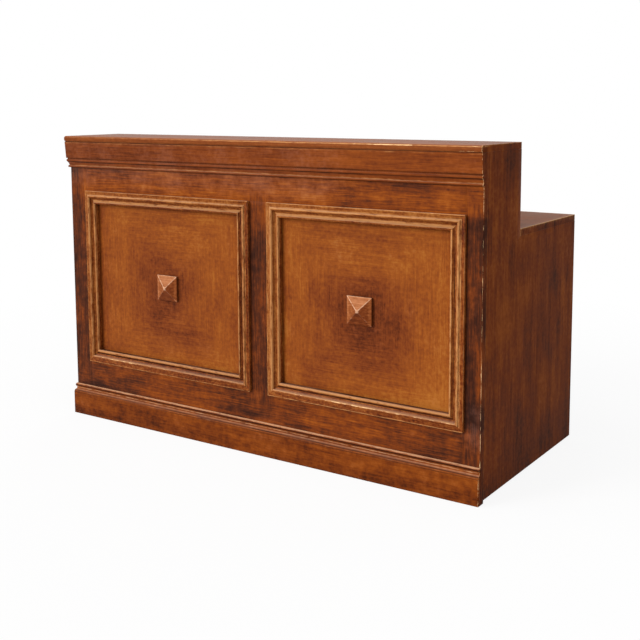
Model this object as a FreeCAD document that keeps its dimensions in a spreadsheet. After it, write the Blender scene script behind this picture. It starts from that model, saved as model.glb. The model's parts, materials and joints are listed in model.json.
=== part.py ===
"""Bar counter with a panelled front, a raised ledge and a lower worktop behind it.

Frame: millimetres, +Z up, the customer's side towards -Y, the staff side towards +Y.
Origin: on the floor, at the middle of the counter's overall width and depth.
"""

import FreeCAD, Part
import os
import re
import Sketcher

DOC = FreeCAD.newDocument("bar_counter")

# Driving dimensions in millimetres: name, size, what it measures
DIMENSIONS = (
    ("overall_height", 1065, "floor to the top of the raised ledge"),
    ("body_width", 1692, "outer face to outer face of the two ends"),
    ("body_depth", 740, "face of the front frame to the rear edge of the ends"),
    ("ledge_depth", 264, "face of the front frame to the rear of the raised ledge"),
    ("worktop_height", 798, "floor to the worktop's surface"),
    ("floor_gap", 10, "floor to the lower edge of the ends"),
    ("top_thickness", 21, "bar-top board"),
    ("top_overhang", 18, "bar top past the front frame and past the left end"),
    ("nose_radius", 8, "rounding of the bar top's front and left edges"),
    ("worktop_thickness", 22, "worktop board"),
    ("end_thickness", 24, "end boards"),
    ("riser_thickness", 18, "upright board behind the ledge"),
    ("divider_thickness", 22, "upright board behind the muntin"),
    ("frame_thickness", 24, "stiles, rails and muntin"),
    ("stile_left_width", 80, "left stile"),
    ("stile_right_width", 54, "right stile"),
    ("muntin_width", 76, "upright between the two panels"),
    ("left_opening_width", 765, "left stile to muntin"),
    ("top_rail_width", 181, "top rail, from the opening to the bar top"),
    ("bottom_rail_width", 216, "bottom rail, from the floor to the opening"),
    ("panel_thickness", 8, "panel boards"),
    ("panel_recess", 11, "panel's face behind the frame's face"),
    ("panel_play", 0.2, "room for a panel or tenon on each side in its groove"),
    ("groove_depth", 10, "groove round the openings"),
    ("edge_play", 1, "room between a panel's or tenon's edge and the groove's floor"),
    ("boss_size", 90, "side of the square boss"),
    ("boss_base", 9, "upright edge of the boss"),
    ("boss_rise", 15, "pyramid above that edge"),
    ("boss_tip", 3, "flat at the worn tip of the pyramid"),
    ("left_boss_setoff", 6.5, "left boss to the right of its panel's middle"),
    ("left_boss_drop", 8, "left boss below its panel's middle"),
    ("right_boss_setoff", 8, "right boss to the left of its panel's middle"),
    ("fascia_width", 15, "panel moulding: flat outer band"),
    ("fascia_height", 21, "panel moulding: outer edge above the panel"),
    ("ridge_width", 10, "panel moulding: main ridge"),
    ("ridge_rise", 4.5, "panel moulding: crown of the main ridge"),
    ("hollow_width", 15, "panel moulding: hollow between the ridges"),
    ("hollow_dip", 3, "panel moulding: depth of that hollow"),
    ("inner_ridge_width", 8, "panel moulding: ridge at the inner edge"),
    ("inner_ridge_rise", 3.6, "panel moulding: crown of the inner ridge"),
    ("inner_height", 16.5, "panel moulding: inner edge above the panel"),
    ("frieze_height", 61, "board under the bar top"),
    ("frieze_thickness", 12, "that board at its lower edge"),
    ("frieze_lean", 3, "how far its upper edge leans out"),
    ("cornice_height", 35, "moulding under the frieze"),
    ("cornice_thickness", 11, "that moulding at its fillet"),
    ("cornice_quirk_height", 5, "groove under the frieze"),
    ("cornice_quirk_depth", 2.5, "how far that groove is set back"),
    ("cornice_fillet_height", 6.5, "flat band under the groove"),
    ("cornice_bead_height", 8, "bead at the cornice's lower edge"),
    ("cornice_bead_rise", 3.6, "crown of that bead"),
    ("cornice_bead_seat", 3.8, "thickness behind that bead"),
    ("cornice_hollow_dip", 1.6, "depth of the cornice's hollow"),
    ("plinth_height", 83, "plinth board"),
    ("plinth_thickness", 11, "plinth board"),
    ("cap_height", 34, "moulding on the plinth board"),
    ("cap_ovolo_height", 12, "rounded step at the cap's lower edge"),
    ("cap_ovolo_rise", 1.8, "crown of that step"),
    ("cap_waist", 4.4, "thickness at the cap's hollow"),
    ("cap_hollow_height", 8, "hollow above the rounded step"),
    ("cap_hollow_dip", 1.2, "depth of that hollow"),
    ("cap_bead_rise", 3.4, "crown of the bead along the cap's upper edge"),
    ("cap_top_thickness", 2.6, "cap at its upper edge"),
    ("kick_height", 92, "floor to the underside of the bottom board"),
    ("kick_thickness", 18, "rear kick rail"),
    ("kick_setback", 70, "rear kick rail behind the rear edge"),
    ("bottom_board_thickness", 18, "bottom board"),
    ("rear_setback", 20, "bottom board and rear rail behind the rear edge"),
    ("rear_rail_thickness", 22, "rail under the worktop's rear edge"),
    ("rear_rail_width", 70, "height of that rail"),
    ("shelf_height", 445, "floor to the shelves' upper side"),
    ("shelf_thickness", 18, "shelves"),
    ("shelf_play", 0.5, "room at each end of a shelf and behind the front frame"),
    ("shelf_setback", 40, "shelves behind the divider's rear edge"),
    ("cleat_width", 20, "shelf cleats, across"),
    ("cleat_height", 30, "shelf cleats, upright"),
    ("cleat_inset", 50, "shelf cleat's ends from the shelf's ends"),
    ("bearer_size", 25, "square bearers under the bottom board"),
    ("corner_block_leg", 40, "corner blocks, along both boards"),
    ("corner_block_toe", 6, "corner blocks, blunt edge"),
    ("corner_block_length", 110, "corner blocks, upright"),
    ("foot_block_size", 60, "wood blocks that hold the feet"),
    ("pad_height", 10, "foot's pad when it is screwed home"),
    ("pad_radius", 19, "foot's pad"),
    ("pad_edge", 2, "bevel round the pad's lower edge"),
    ("stem_radius", 5, "foot's threaded stem"),
    ("stem_length", 50, "stem above the pad"),
    ("stem_play", 0.2, "room round the stem in its insert"),
    ("stem_room", 8, "free depth above the stem"),
    ("insert_radius", 8, "sleeve of the threaded insert"),
    ("insert_length", 30, "length of the threaded insert"),
    ("insert_play", 0.1, "room round the insert in its block"),
    ("flange_radius", 12, "flange of the threaded insert"),
    ("flange_thickness", 2, "flange of the threaded insert"),
    ("screw_radius", 2.2, "wood screws, shank"),
    ("screw_head_radius", 4.4, "wood screws, countersunk head"),
    ("screw_head_height", 3, "wood screws, countersunk head"),
    ("screw_bite", 16, "screw's hold in the board behind"),
    ("screw_play", 0.1, "room round a screw in its hole"),
    ("screw_margin", 40, "first and last screw from the cleat's ends"),
    ("screw_stagger", 25, "screws on the divider's two sides, apart"),
)

# Places and sizes that follow from the driving dimensions
LAYOUT = (
    ("right_face", "(body_width + top_overhang) / 2"),
    ("left_face", "right_face - body_width"),
    ("front_face", "(top_overhang - body_depth) / 2"),
    ("rear_edge", "front_face + body_depth"),
    ("frame_back", "front_face + frame_thickness"),
    ("ledge_rear", "front_face + ledge_depth"),
    ("riser_front", "ledge_rear - riser_thickness"),
    ("top_underside", "overall_height - top_thickness"),
    ("worktop_underside", "worktop_height - worktop_thickness"),
    ("left_inner", "left_face + end_thickness"),
    ("right_inner", "right_face - end_thickness"),
    ("inner_width", "right_inner - left_inner"),
    ("left_opening_start", "left_face + stile_left_width"),
    ("left_opening_end", "left_opening_start + left_opening_width"),
    ("right_opening_start", "left_opening_end + muntin_width"),
    ("right_opening_end", "right_face - stile_right_width"),
    ("opening_bottom", "bottom_rail_width"),
    ("opening_top", "top_underside - top_rail_width"),
    ("opening_height", "opening_top - opening_bottom"),
    ("opening_middle", "(opening_top + opening_bottom) / 2"),
    ("groove_width", "panel_thickness + 2 * panel_play"),
    ("groove_offset", "panel_recess - panel_play"),
    ("tongue", "groove_depth - edge_play"),
    ("panel_front", "front_face + panel_recess"),
    ("moulding_width", "fascia_width + ridge_width + hollow_width + inner_ridge_width"),
    ("cornice_top", "top_underside - frieze_height"),
    ("divider_middle", "left_opening_end + muntin_width / 2"),
    ("divider_left", "divider_middle - divider_thickness / 2"),
    ("divider_right", "divider_middle + divider_thickness / 2"),
    ("rear_rail_rear", "rear_edge - rear_setback"),
    ("divider_rear", "rear_rail_rear - rear_rail_thickness"),
    ("bottom_board_top", "kick_height + bottom_board_thickness"),
    ("kick_front", "rear_edge - kick_setback - kick_thickness"),
    ("shelf_front", "frame_back + shelf_play"),
    ("shelf_depth", "divider_rear - shelf_setback - shelf_front"),
    ("shelf_underside", "shelf_height - shelf_thickness"),
    ("cleat_front", "shelf_front + cleat_inset"),
    ("cleat_length", "shelf_depth - 2 * cleat_inset"),
    ("cleat_bottom", "shelf_underside - cleat_height"),
    ("bearer_bottom", "kick_height - bearer_size"),
    ("bearer_front", "frame_back + bearer_size"),
    ("bearer_length", "kick_front - bearer_front"),
    ("front_bearer_length", "inner_width"),
    ("low_block_bottom", "(bottom_board_top + cleat_bottom - corner_block_length) / 2"),
    ("middle_block_bottom", "(shelf_height + worktop_underside - corner_block_length) / 2"),
    ("high_block_bottom", "(worktop_height + top_underside - corner_block_length) / 2"),
    ("foot_row", "kick_front - foot_block_size / 2"),
    ("left_foot_place", "left_inner + bearer_size + foot_block_size / 2"),
    ("right_foot_place", "right_inner - bearer_size - foot_block_size / 2"),
)

DIMS = DOC.addObject("Spreadsheet::Sheet", "Dims")
PLACES = DOC.addObject("Spreadsheet::Sheet", "Layout")
SHEET_OF = {name: "Dims." for name, size, note in DIMENSIONS}
SHEET_OF.update({name: "Layout." for name, formula in LAYOUT})
WORD = re.compile(r"[a-z][a-z_]*")

RIGHT = FreeCAD.Vector(1, 0, 0)
BACK = FreeCAD.Vector(0, 1, 0)
UP = FreeCAD.Vector(0, 0, 1)
QUARTER_TURN = 90
UNTURNED = FreeCAD.Rotation()

# Largest rounding of the nose, as a share of the bar top's thickness
NOSE_SHARE = 0.45

SCREWS_PER_CLEAT = 3
SCREWS_PER_FRONT_BEARER = 5

NODES = []


def expression(formula):
    """The formula with each named size pointed at its spreadsheet."""
    return WORD.sub(lambda word: SHEET_OF.get(word.group(), "") + word.group(), formula)


def number(formula):
    """The formula's present value."""
    return float(DIMS.evalExpression(expression(formula)))


def fill_sheets():
    """Write the driving sizes as plain numbers and the layout as formulas."""
    for row, (name, size, note) in enumerate(DIMENSIONS, 1):
        DIMS.set(f"A{row}", name)
        DIMS.set(f"B{row}", str(size))
        DIMS.setAlias(f"B{row}", name)
        DIMS.set(f"C{row}", note)
    for row, (name, formula) in enumerate(LAYOUT, 1):
        PLACES.set(f"A{row}", name)
        PLACES.set(f"B{row}", "=" + expression(formula))
        PLACES.setAlias(f"B{row}", name)
    DOC.recompute()


def bind(item, **formulas):
    """Tie properties of an object to the sheets."""
    for name, formula in formulas.items():
        item.setExpression(name, expression(formula))


def place(item, base, turn=UNTURNED):
    """Turn an object and tie its origin to three formulas."""
    item.Placement = FreeCAD.Placement(FreeCAD.Vector(), turn)
    for axis, formula in zip("xyz", base):
        item.setExpression("Placement.Base." + axis, expression(formula))
    return item


def node(item, name):
    """Name an object as one of the counter's pieces."""
    item.Label = name
    NODES.append(item)
    return item


def box(name, base, size):
    """A plain board or block, from its lowest corner and its three sizes."""
    board = DOC.addObject("Part::Box", name)
    bind(board, Length=size[0], Width=size[1], Height=size[2])
    return place(board, base)


def cylinder(name, radius, height, base, turn=UNTURNED):
    """A round bar along its own Z."""
    bar = DOC.addObject("Part::Cylinder", name)
    bind(bar, Radius=radius, Height=height)
    return place(bar, base, turn)


def group(name, items):
    """Several solids kept together."""
    bundle = DOC.addObject("Part::Compound", name)
    bundle.Links = items
    return bundle


def fused(name, items):
    """Several overlapping solids as one."""
    whole = DOC.addObject("Part::MultiFuse", name)
    whole.Shapes = items
    return whole


def cut(name, base, tool):
    """One solid with another taken out of it."""
    rest = DOC.addObject("Part::Cut", name)
    rest.Base = base
    rest.Tool = tool
    return rest


def add_sketch(body, plane):
    """An empty sketch on one of the body's own origin planes."""
    planes = {feature.Role: feature for feature in body.Origin.OriginFeatures}
    sketch = body.newObject("Sketcher::SketchObject", body.Name + "_sketch")
    sketch.AttachmentSupport = (planes[plane], [""])
    sketch.MapMode = "FlatFace"
    return sketch


def add_outline(sketch, corners):
    """Close an outline through corners given as formulas.

    A corner is (u, v), or (u, v, rise) where an arc of that rise leads to it from the corner before.
    A positive rise bulges to the left of the way along the outline, a negative one to the right.
    """
    starts, ends = [], []
    for index, corner in enumerate(corners):
        before = corners[index - 1]
        start = FreeCAD.Vector(number(before[0]), number(before[1]), 0)
        end = FreeCAD.Vector(number(corner[0]), number(corner[1]), 0)
        if len(corner) == 2:
            edge = sketch.addGeometry(Part.LineSegment(start, end), False)
            starts.append((edge, 1))
            ends.append((edge, 2))
            continue
        rise = number(corner[2])
        chord = end - start
        across = FreeCAD.Vector(-chord.y, chord.x, 0).normalize()
        radius = chord.Length ** 2 / (8 * abs(rise)) + abs(rise) / 2
        towards = 1 if rise > 0 else -1
        centre = (start + end) * 0.5 + across * (rise - towards * radius)
        circle = Part.Circle(centre, UP, radius)
        first, last = (end, start) if rise > 0 else (start, end)
        arc = Part.ArcOfCircle(circle, circle.parameter(first), circle.parameter(last))
        edge = sketch.addGeometry(arc, False)
        starts.append((edge, 2 if rise > 0 else 1))
        ends.append((edge, 1 if rise > 0 else 2))
        span = f"(({corner[0]}) - ({before[0]}))^2 + (({corner[1]}) - ({before[1]}))^2"
        size = f"({span}) / (8 * abs({corner[2]})) + abs({corner[2]}) / 2"
        fix(sketch, Sketcher.Constraint("Radius", edge, radius), size)
    for index, corner in enumerate(corners):
        after = (index + 1) % len(corners)
        sketch.addConstraint(Sketcher.Constraint("Coincident", *ends[index], *starts[after]))
        for kind, formula in zip(("DistanceX", "DistanceY"), corner):
            fix(sketch, Sketcher.Constraint(kind, -1, 1, *ends[index], number(formula)), formula)


def fix(sketch, constraint, formula):
    """Add a constraint whose size is tied to a formula."""
    index = sketch.addConstraint(constraint)
    sketch.setExpression(f"Constraints[{index}]", expression(formula))


def padded(name, plane, corners, length):
    """A body made by padding one closed outline."""
    body = DOC.addObject("PartDesign::Body", name)
    sketch = add_sketch(body, plane)
    add_outline(sketch, corners)
    pad = body.newObject("PartDesign::Pad", name + "_pad")
    pad.Profile = sketch
    bind(pad, Length=length)
    DOC.recompute()
    return body


def pocketed(body, plane, outlines):
    """Cut outlines right through a body, both ways from the plane."""
    before = body.Shape.Volume
    sketch = add_sketch(body, plane)
    for corners in outlines:
        add_outline(sketch, corners)
    pocket = body.newObject("PartDesign::Pocket", body.Name + "_pocket")
    pocket.Profile = sketch
    pocket.Type = "ThroughAll"
    pocket.Midplane = True
    DOC.recompute()
    if not body.Shape.Volume < before:
        raise RuntimeError(body.Name + ": the pocket cuts nothing")
    return body


def turned(name, corners):
    """A body made by turning an outline in radius and height about the Z axis."""
    body = DOC.addObject("PartDesign::Body", name)
    sketch = add_sketch(body, "XZ_Plane")
    add_outline(sketch, corners)
    revolution = body.newObject("PartDesign::Revolution", name + "_turn")
    revolution.Profile = sketch
    revolution.ReferenceAxis = (sketch, ["V_Axis"])
    DOC.recompute()
    return body


def rectangle(left, low, right, high):
    """The four corners of a rectangle."""
    return [(left, low), (right, low), (right, high), (left, high)]


def strip(name, section, length, reach, mitres):
    """A length of moulding along its own X, with mitred ends where they are asked for.

    The section runs inwards from its outermost line (u = 0) to its back (u = reach) and upwards in v.
    """
    body = padded(name, "YZ_Plane", section, length)
    corners = {
        "start": [("0", "0"), (reach, reach), ("0", reach)],
        "end": [(length, "0"), (length, reach), (f"({length}) - ({reach})", reach)],
    }
    return pocketed(body, "XY_Plane", [corners[end] for end in mitres])


def frame_bar(name, length, width, grooves, tenoned):
    """A stile, rail or muntin along its own X: front face at Y = 0, width along Z.

    grooves names the edges that hold panels, "low" and "high". A tenoned bar has a stub tenon at each
    end, as thick as the groove it goes into.
    """
    groove_end = "groove_offset + groove_width"
    notch = {
        "low": [
            ("groove_offset", "0"),
            ("groove_offset", "groove_depth"),
            (groove_end, "groove_depth"),
            (groove_end, "0"),
        ],
        "high": [
            (groove_end, width),
            (groove_end, f"{width} - groove_depth"),
            ("groove_offset", f"{width} - groove_depth"),
            ("groove_offset", width),
        ],
    }
    section = [("0", "0")]
    section += notch["low"] if "low" in grooves else []
    section += [("frame_thickness", "0"), ("frame_thickness", width)]
    section += notch["high"] if "high" in grooves else []
    section += [("0", width)]
    if not tenoned:
        return padded(name, "YZ_Plane", section, length)
    whole = f"{length} + 2 * tongue"
    body = padded(name, "YZ_Plane", section, whole)
    shoulders = [("0", "tongue"), (f"{whole} - tongue", whole)]
    cheeks = [("0", "groove_offset + panel_play"), (f"{groove_end} - panel_play", "frame_thickness")]
    waste = [rectangle(start, front, end, back) for start, end in shoulders for front, back in cheeks]
    return pocketed(body, "XY_Plane", waste)


def make_front_frame():
    """Two stiles to the floor, two rails tenoned between them, and a muntin tenoned between the rails."""
    upright = FreeCAD.Rotation(BACK, -QUARTER_TURN)
    stiles = (
        ("left_stile", "stile_left_width", "low", "left_opening_start"),
        ("right_stile", "stile_right_width", "high", "right_face"),
    )
    for name, width, groove, edge in stiles:
        stile = frame_bar(name, "top_underside", width, groove, tenoned=False)
        node(place(stile, (edge, "front_face", "0"), upright), name)
    span = "(right_opening_end - left_opening_start)"
    rails = (
        ("top_rail", "top_rail_width", "low", "opening_top"),
        ("bottom_rail", "bottom_rail_width", "high", "0"),
    )
    for name, width, groove, height in rails:
        rail = frame_bar(name, span, width, groove, tenoned=True)
        node(place(rail, ("left_opening_start - tongue", "front_face", height)), name)
    muntin = frame_bar("centre_muntin", "opening_height", "muntin_width", "low high", tenoned=True)
    foot = ("right_opening_start", "front_face", "opening_bottom - tongue")
    node(place(muntin, foot, upright), "centre_muntin")


def make_panel(side, start, end, boss_shift, boss_height):
    """A flat panel in its groove, four mitred mouldings round it and a pyramid boss near its middle."""
    size = (f"{end} - {start} + 2 * tongue", "panel_thickness", "opening_height + 2 * tongue")
    base = (f"{start} - tongue", "panel_front", "opening_bottom - tongue")
    node(box(side + "_panel", base, size), side + "_panel")

    ridge_start = "fascia_width"
    hollow_start = "fascia_width + ridge_width"
    hollow_end = "moulding_width - inner_ridge_width"
    section = [
        ("0", "0"),
        ("moulding_width", "0"),
        ("moulding_width", "inner_height"),
        (hollow_end, "inner_height", "-inner_ridge_rise"),
        (hollow_start, "inner_height", "hollow_dip"),
        (hollow_start, "fascia_height"),
        (ridge_start, "fascia_height", "-ridge_rise"),
        ("0", "fascia_height"),
    ]
    forward = FreeCAD.Rotation(RIGHT, QUARTER_TURN)
    lengths = (
        ("bottom", f"{end} - {start}", start, "opening_bottom"),
        ("right", "opening_height", end, "opening_bottom"),
        ("top", f"{end} - {start}", end, "opening_top"),
        ("left", "opening_height", start, "opening_top"),
    )
    for turns, (edge, length, across, height) in enumerate(lengths):
        name = f"{side}_panel_moulding_{edge}"
        moulding = strip(name, section, length, "moulding_width", ("start", "end"))
        turn = FreeCAD.Rotation(BACK, -QUARTER_TURN * turns) * forward
        node(place(moulding, (across, "panel_front", height), turn), name)

    name = side + "_boss"
    half = "boss_size / 2"
    block = box(name + "_block", (f"-{half}", "0", f"-{half}"), ("boss_size", "boss_base", "boss_size"))
    pyramid = DOC.addObject("Part::Wedge", name + "_pyramid")
    bind(pyramid, Xmin=f"-{half}", Xmax=half, Zmin=f"-{half}", Zmax=half, Ymin="boss_base")
    bind(pyramid, Ymax="boss_base + boss_rise", X2min="-boss_tip / 2", X2max="boss_tip / 2")
    bind(pyramid, Z2min="-boss_tip / 2", Z2max="boss_tip / 2")
    middle = (f"({start} + {end}) / 2 + ({boss_shift})", "panel_front", boss_height)
    facing_out = FreeCAD.Rotation(UP, 2 * QUARTER_TURN)
    node(place(fused(name, [block, pyramid]), middle, facing_out), name)


def make_trim(name, section, reach, height, return_rear):
    """A front length cut flush at the right end, mitred to a return along the left end."""
    front = strip(name + "_front", section, f"body_width + {reach}", reach, ("start",))
    corner = (f"left_face - {reach}", f"front_face - {reach}", height)
    node(place(front, corner), name + "_front")
    length = f"{return_rear} - front_face + {reach}"
    back = strip(name + "_return_left", section, length, reach, ("end",))
    rear = (f"left_face - {reach}", return_rear, height)
    node(place(back, rear, FreeCAD.Rotation(UP, -QUARTER_TURN)), name + "_return_left")


def make_cornice():
    """The frieze board and, under it, the cornice: groove, flat band, hollow and bead."""
    frieze_reach = "(frieze_thickness + frieze_lean)"
    frieze = [
        ("frieze_lean", "0"),
        (frieze_reach, "0"),
        (frieze_reach, "frieze_height"),
        ("0", "frieze_height"),
    ]
    make_trim("frieze", frieze, frieze_reach, "cornice_top", "ledge_rear")

    seat = "cornice_thickness - cornice_bead_seat"
    band_top = "cornice_height - cornice_quirk_height"
    band_bottom = f"{band_top} - cornice_fillet_height"
    cornice = [
        (seat, "0", "-cornice_bead_rise"),
        ("cornice_thickness", "0"),
        ("cornice_thickness", "cornice_height"),
        ("cornice_quirk_depth", "cornice_height"),
        ("cornice_quirk_depth", band_top),
        ("0", band_top),
        ("0", band_bottom),
        (seat, "cornice_bead_height", "cornice_hollow_dip"),
    ]
    make_trim("cornice", cornice, "cornice_thickness", "cornice_top - cornice_height", "ledge_rear")


def make_plinth():
    """The plinth board and, on it, the cap: rounded step, hollow and bead."""
    board = rectangle("0", "0", "plinth_thickness", "plinth_height")
    make_trim("plinth", board, "plinth_thickness", "0", "rear_edge")

    waist = "plinth_thickness - cap_waist"
    hollow_top = "cap_ovolo_height + cap_hollow_height"
    cap = [
        ("0", "0", "-cap_ovolo_rise"),
        ("plinth_thickness", "0"),
        ("plinth_thickness", "cap_height"),
        ("plinth_thickness - cap_top_thickness", "cap_height"),
        (waist, hollow_top, "-cap_bead_rise"),
        (waist, "cap_ovolo_height", "cap_hollow_dip"),
    ]
    make_trim("plinth_cap", cap, "plinth_thickness", "plinth_height", "rear_edge")


def make_tops():
    """The bar top with its rounded nose, the worktop behind it, and the riser between them."""
    size = ("body_width + top_overhang", "ledge_depth + top_overhang", "top_thickness")
    outline = rectangle("0", "0", size[0], size[1])
    bar_top = padded("bar_top", "XY_Plane", outline, size[2])
    pad = bar_top.Tip
    rounded = []
    for index, edge in enumerate(pad.Shape.Edges, 1):
        middle = edge.CenterOfMass
        at_front = middle.y < pad.Shape.BoundBox.YMin + Part.Precision.confusion()
        at_left = middle.x < pad.Shape.BoundBox.XMin + Part.Precision.confusion()
        upright = edge.tangentAt(edge.FirstParameter).isEqual(UP, Part.Precision.confusion())
        if (at_front and at_left) or ((at_front or at_left) and not upright):
            rounded.append(f"Edge{index}")
    nose = bar_top.newObject("PartDesign::Fillet", "bar_top_nose")
    nose.Base = (pad, rounded)
    bind(nose, Radius=f"min(nose_radius; {NOSE_SHARE} * top_thickness)")
    corner = ("left_face - top_overhang", "front_face - top_overhang", "top_underside")
    node(place(bar_top, corner), "bar_top")

    size = ("body_width", "rear_edge - ledge_rear", "worktop_thickness")
    node(box("worktop", ("left_face", "ledge_rear", "worktop_underside"), size), "worktop")

    size = ("inner_width", "riser_thickness", "top_underside - worktop_underside")
    node(box("riser_panel", ("left_inner", "riser_front", "worktop_underside"), size), "riser_panel")


def screw_pair(name, base, turn, length):
    """A countersunk wood screw along its own Z, and the hole that it needs."""
    pair = []
    for kind, play in (("screw", "0"), ("hole", "screw_play")):
        label = f"{name}_{kind}"
        head = DOC.addObject("Part::Cone", label + "_head")
        bind(head, Radius1=f"screw_head_radius + {play}", Radius2=f"screw_radius + {play}")
        bind(head, Height=f"screw_head_height + {play}")
        place(head, base, turn)
        shank = cylinder(label + "_shank", f"screw_radius + {play}", f"{length} + {play}", base, turn)
        pair.append(fused(label, [head, shank]))
    return pair


def screw_row(name, count, first, last, base, along, turn, length):
    """A row of screws between two places along one axis, and their holes."""
    pairs = []
    for index in range(count):
        at = list(base)
        at[along] = f"{first} + ({last} - ({first})) * {index} / {count - 1}"
        pairs.append(screw_pair(f"{name}_{index + 1}", at, turn, length))
    screws, holes = zip(*pairs)
    return list(screws), group(name + "_holes", list(holes))


def drilled(name, board, holes):
    """A board with all the holes of its screw rows."""
    return node(cut(name, board, group(name + "_holes", holes)), name)


def make_carcass():
    """Stepped ends and divider, the boards between them, and the cleats and bearers that carry them."""
    to_left = FreeCAD.Rotation(BACK, -QUARTER_TURN)
    to_right = FreeCAD.Rotation(BACK, QUARTER_TURN)
    to_front = FreeCAD.Rotation(RIGHT, QUARTER_TURN)
    holes = {"left_end_panel": [], "right_end_panel": [], "centre_divider": [], "bottom_rail": []}
    screws = []

    cleat_row = ("cleat_front + screw_margin", "cleat_front + cleat_length - screw_margin")
    cleats = (
        ("left_shelf_cleat_outer", "left_inner", "left_end_panel", to_left, "0"),
        ("left_shelf_cleat_inner", "divider_left - cleat_width", "centre_divider", to_right, "0"),
        ("right_shelf_cleat_inner", "divider_right", "centre_divider", to_left, "screw_stagger"),
        ("right_shelf_cleat_outer", "right_inner - cleat_width", "right_end_panel", to_right, "0"),
    )
    for name, side, board, turn, stagger in cleats:
        size = ("cleat_width", "cleat_length", "cleat_height")
        cleat = box(name + "_bar", (side, "cleat_front", "cleat_bottom"), size)
        face = f"{side} + cleat_width" if turn is to_left else side
        base = (face, "0", "cleat_bottom + cleat_height / 2")
        row = (f"{cleat_row[0]} + {stagger}", f"{cleat_row[1]} - {stagger}")
        driven, bored = screw_row(
            name, SCREWS_PER_CLEAT, *row, base, 1, turn, "cleat_width + screw_bite"
        )
        screws += driven
        holes[board].append(bored)
        drilled(name, cleat, [bored])

    bearer_length = "bearer_size + screw_bite"
    bearers = (
        ("left_bearer", "left_inner", "left_end_panel", to_left),
        ("right_bearer", "right_inner - bearer_size", "right_end_panel", to_right),
    )
    for name, side, board, turn in bearers:
        size = ("bearer_size", "bearer_length", "bearer_size")
        bearer = box(name + "_bar", (side, "bearer_front", "bearer_bottom"), size)
        face = f"{side} + bearer_size" if turn is to_left else side
        base = (face, "0", "bearer_bottom + bearer_size / 2")
        row = ("bearer_front + screw_margin", "kick_front - screw_margin")
        driven, bored = screw_row(name, SCREWS_PER_CLEAT, *row, base, 1, turn, bearer_length)
        screws += driven
        holes[board].append(bored)
        drilled(name, bearer, [bored])

    size = ("front_bearer_length", "bearer_size", "bearer_size")
    bearer = box("front_bearer_bar", ("left_inner", "frame_back", "bearer_bottom"), size)
    base = ("0", "bearer_front", "bearer_bottom + bearer_size / 2")
    row = ("left_opening_start + screw_margin", "right_opening_end - screw_margin")
    driven, bored = screw_row(
        "front_bearer", SCREWS_PER_FRONT_BEARER, *row, base, 0, to_front, bearer_length
    )
    screws += driven
    holes["bottom_rail"].append(bored)
    drilled("front_bearer", bearer, [bored])
    node(group("cleat_screws", screws), "cleat_screws")

    rail = next(item for item in NODES if item.Label == "bottom_rail")
    NODES.remove(rail)
    rail.Label = "bottom_rail_bar"
    drilled("bottom_rail", rail, holes["bottom_rail"])

    end_outline = [
        ("frame_back", "floor_gap"),
        ("rear_edge", "floor_gap"),
        ("rear_edge", "worktop_underside"),
        ("ledge_rear", "worktop_underside"),
        ("ledge_rear", "top_underside"),
        ("frame_back", "top_underside"),
    ]
    for name, side in (("left_end_panel", "left_face"), ("right_end_panel", "right_inner")):
        end = padded(name + "_board", "YZ_Plane", end_outline, "end_thickness")
        drilled(name, place(end, (side, "0", "0")), holes[name])

    divider_outline = [
        ("frame_back", "bottom_board_top"),
        ("divider_rear", "bottom_board_top"),
        ("divider_rear", "worktop_underside"),
        ("riser_front", "worktop_underside"),
        ("riser_front", "top_underside"),
        ("frame_back", "top_underside"),
    ]
    divider = padded("centre_divider_board", "YZ_Plane", divider_outline, "divider_thickness")
    drilled("centre_divider", place(divider, ("divider_left", "0", "0")), holes["centre_divider"])

    boards = (
        (
            "bottom_board",
            ("left_inner", "frame_back", "kick_height"),
            ("inner_width", "rear_rail_rear - frame_back", "bottom_board_thickness"),
        ),
        (
            "rear_kick_rail",
            ("left_inner", "kick_front", "floor_gap"),
            ("inner_width", "kick_thickness", "kick_height - floor_gap"),
        ),
        (
            "rear_rail",
            ("left_inner", "divider_rear", "worktop_underside - rear_rail_width"),
            ("inner_width", "rear_rail_thickness", "rear_rail_width"),
        ),
        (
            "left_shelf",
            ("left_inner + shelf_play", "shelf_front", "shelf_underside"),
            ("divider_left - left_inner - 2 * shelf_play", "shelf_depth", "shelf_thickness"),
        ),
        (
            "right_shelf",
            ("divider_right + shelf_play", "shelf_front", "shelf_underside"),
            ("right_inner - divider_right - 2 * shelf_play", "shelf_depth", "shelf_thickness"),
        ),
    )
    for name, base, size in boards:
        node(box(name, base, size), name)


def make_corner_blocks():
    """Blunt three-cornered blocks that hold the front frame to the ends."""
    blocks = []
    for side, corner, turns in (("left", "left_inner", 0), ("right", "right_inner", 1)):
        for level in ("low", "middle", "high"):
            block = DOC.addObject("Part::Wedge", f"{side}_{level}_corner_block")
            bind(block, Xmin="0", Xmax="corner_block_leg", X2min="0", X2max="corner_block_toe")
            bind(block, Ymin="0", Ymax="corner_block_leg", Zmin="0", Zmax="corner_block_length")
            bind(block, Z2min="0", Z2max="corner_block_length")
            turn = FreeCAD.Rotation(UP, QUARTER_TURN * turns)
            blocks.append(place(block, (corner, "frame_back", f"{level}_block_bottom"), turn))
    node(group("corner_blocks", blocks), "corner_blocks")


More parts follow.
